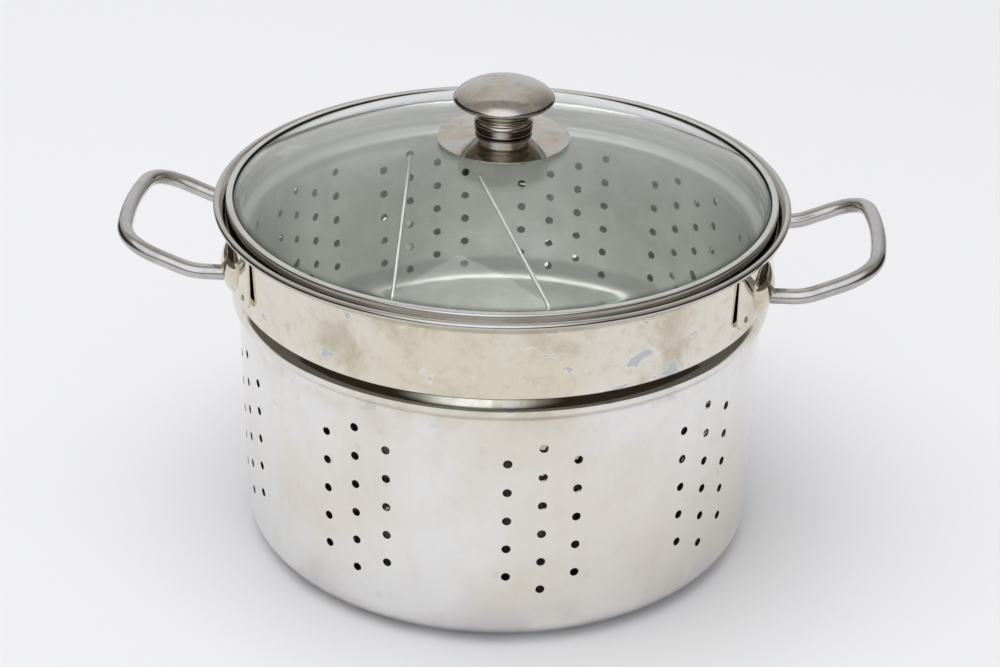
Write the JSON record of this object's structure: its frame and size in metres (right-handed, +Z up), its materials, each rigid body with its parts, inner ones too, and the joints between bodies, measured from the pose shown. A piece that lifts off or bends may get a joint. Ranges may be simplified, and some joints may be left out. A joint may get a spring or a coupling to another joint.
{
  "type": "water bath canner",
  "caption": "Deep perforated steel canning basket with rolled rim, shoulder bead and rod handles, holding a shallower perforated basket and rods under a domed glass lid with a knob.",
  "frame": {"origin": "centre of the outer basket's base, on the surface it stands on", "axes": "+Z up, X along the line through both handles, +X towards the right handle, -Y towards the front"},
  "size_m": [0.3454, 0.2598, 0.2194],
  "materials": {
    "stained_steel": "polished stainless steel with heat and water stains",
    "inner_steel": "satin stainless steel with concentric brushing",
    "polished_steel": "polished stainless steel",
    "handle_steel": "polished stainless rod, duller on the crossbar",
    "knob_steel": "worn satin stainless steel with brown tinting",
    "weld_steel": "dull weld mark",
    "rod_steel": "bright drawn steel rod",
    "screw_steel": "plain stainless steel",
    "silicone": "matt translucent grey",
    "lid_glass": "clear greenish tempered glass"
  },
  "bodies": {
    "outer_basket": {"outer_basket_shell": "stained_steel", "left_handle_rod": "handle_steel", "right_handle_rod": "handle_steel", "left_handle_bracket": "stained_steel", "right_handle_bracket": "stained_steel", "left_front_spot_weld": "weld_steel", "left_back_spot_weld": "weld_steel", "right_front_spot_weld": "weld_steel", "right_back_spot_weld": "weld_steel"},
    "inner_basket": {"inner_basket_shell": "inner_steel"},
    "left_rod": {"left_loose_rod": "rod_steel"},
    "right_rod": {"right_loose_rod": "rod_steel"},
    "lid": {"lid_glass": "lid_glass", "lid_rim_band": "polished_steel", "knob_disc": "knob_steel", "knob_upper_gasket": "silicone", "knob_screw_bush": "silicone", "knob_lower_gasket": "silicone", "knob_washer": "screw_steel", "knob_screw": "screw_steel"},
    "knob": {"knob_neck": "knob_steel", "knob_cap": "knob_steel"}
  },
  "joints": [
    {"name": "inner_basket_lift", "type": "slide", "parent": "outer_basket", "child": "inner_basket", "axis": [0, 0, 1], "range_m": [0, 0.12]},
    {"name": "lid_lift", "type": "slide", "parent": "inner_basket", "child": "lid", "axis": [0, 0, 1], "range_m": [0, 0.12]},
    {"name": "knob_turn", "type": "hinge", "parent": "lid", "child": "knob", "pos_m": [0, 0, 0.21], "axis": [0, 0, 1], "continuous": true},
    {"name": "left_rod_lean", "type": "hinge", "parent": "inner_basket", "child": "left_rod", "pos_m": [-0.0502, -0.0982, 0.0682], "axis": [1, 0.0066, 0], "range_deg": [0, 6]},
    {"name": "right_rod_lean", "type": "hinge", "parent": "inner_basket", "child": "right_rod", "pos_m": [0.068, -0.087, 0.0682], "axis": [0.9172, 0.3984, 0], "range_deg": [0, 6]}
  ]
}
